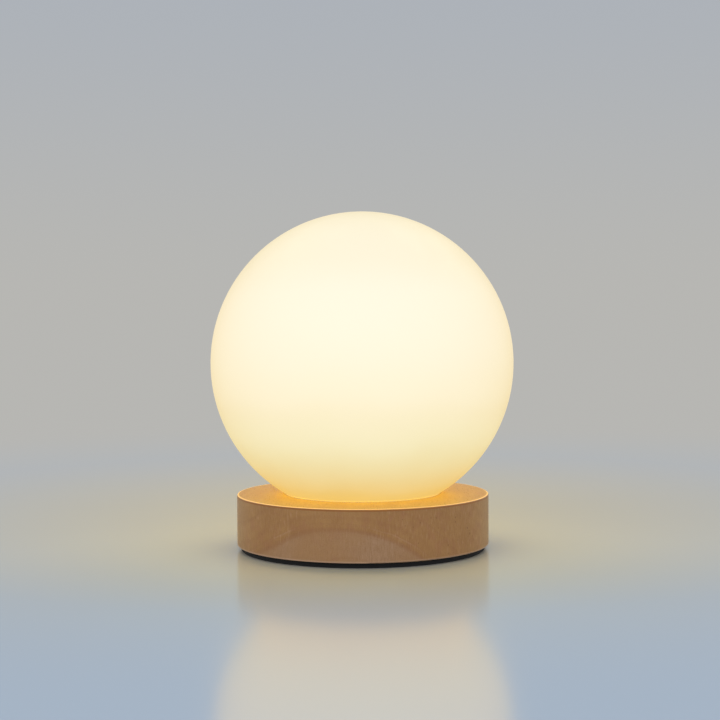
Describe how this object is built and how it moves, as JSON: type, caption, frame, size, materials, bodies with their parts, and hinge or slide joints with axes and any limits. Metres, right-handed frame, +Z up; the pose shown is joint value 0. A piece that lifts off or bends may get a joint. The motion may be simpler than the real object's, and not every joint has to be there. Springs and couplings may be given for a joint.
{
  "type": "globe night light",
  "caption": "Lit opal glass globe night light on a round turned wood base, with a rear charging socket and power button.",
  "frame": {"origin": "middle of the foot pad's underside, on the lamp's upright axis", "axes": "+Z up through the globe; +Y towards the back, where the charging socket and the power button are; the pictured front is towards -Y"},
  "size_m": [0.12, 0.12, 0.1337],
  "materials": {
    "opal_glass": "satin opal glass, lit warm white from within",
    "clear_silicone": "milky translucent silicone",
    "beech": "sanded beech with a thin clear oil",
    "black_foam": "fine matt closed-cell foam",
    "black_plastic": "fine spark-textured black ABS",
    "white_plastic": "smooth white ABS",
    "button_plastic": "satin black cap with a turned face",
    "black_screw": "black oxide",
    "zinc_screw": "bright zinc plate",
    "white_board": "white solder mask with bare copper pads",
    "emitter_package": "white moulded package",
    "phosphor": "yellow phosphor gel, lit",
    "pouch_foil": "silver laminated foil",
    "green_board": "green solder mask with traces",
    "nickel": "rolled nickel strip",
    "amber_tape": "amber film tape",
    "white_foam": "white adhesive foam",
    "chip_resin": "black moulded resin",
    "ferrite": "dark grey ferrite",
    "tan_ceramic": "tan ceramic with tinned ends",
    "dark_ceramic": "black glaze with tinned ends",
    "connector_nylon": "natural nylon",
    "tinned_pin": "bright tin plate",
    "socket_steel": "drawn stainless sheet",
    "spring_steel": "bright spring wire",
    "indicator_resin": "clear resin over a small chip",
    "clear_acrylic": "clear moulded acrylic",
    "red_lead": "red insulation",
    "black_lead": "black insulation",
    "white_lead": "white insulation"
  },
  "bodies": {
    "base": {"neck_ring": "clear_silicone", "wood_base": "beech", "foot_pad": "black_foam", "bottom_cover": "black_plastic", "cover_screws": "black_screw", "lamp_tray": "white_plastic", "tray_screws": "zinc_screw", "lamp_board": "white_board", "lamp_board_screws": "zinc_screw", "lamp_emitters": "emitter_package", "emitter_phosphors": "phosphor", "battery_cell": "pouch_foil", "battery_guard_board": "green_board", "battery_tabs": "nickel", "battery_tape": "amber_tape", "battery_foam": "white_foam", "driver_board": "green_board", "driver_board_screws": "zinc_screw", "charger_chip": "chip_resin", "driver_chip": "chip_resin", "storage_coil": "ferrite", "capacitors": "tan_ceramic", "resistors": "dark_ceramic", "battery_header": "connector_nylon", "battery_header_pins": "tinned_pin", "battery_plug": "connector_nylon", "lamp_header": "connector_nylon", "lamp_header_pins": "tinned_pin", "lamp_plug": "connector_nylon", "port_board": "green_board", "port_board_screws": "zinc_screw", "port_bezel": "black_plastic", "socket_shell": "socket_steel", "socket_tongue": "chip_resin", "switch_case": "chip_resin", "switch_pins": "tinned_pin", "switch_spring": "spring_steel", "charge_indicator": "indicator_resin", "light_pipe": "clear_acrylic", "battery_lead_red": "red_lead", "battery_lead_black": "black_lead", "lamp_lead_red": "red_lead", "lamp_lead_black": "black_lead", "port_leads": "white_lead"},
    "globe": {"globe_shade": "opal_glass"},
    "button": {"power_button": "button_plastic", "switch_stem": "white_plastic"}
  },
  "joints": [
    {"name": "globe_lift", "type": "slide", "parent": "base", "child": "globe", "axis": [0, 0, 1], "range_m": [0, 0.04]},
    {"name": "button_press", "type": "slide", "parent": "base", "child": "button", "axis": [0, -1, 0], "range_m": [0, 0.002], "stiffness_N_per_m": 900, "springref_m": -0.0008, "deforming": ["switch_spring"]}
  ]
}
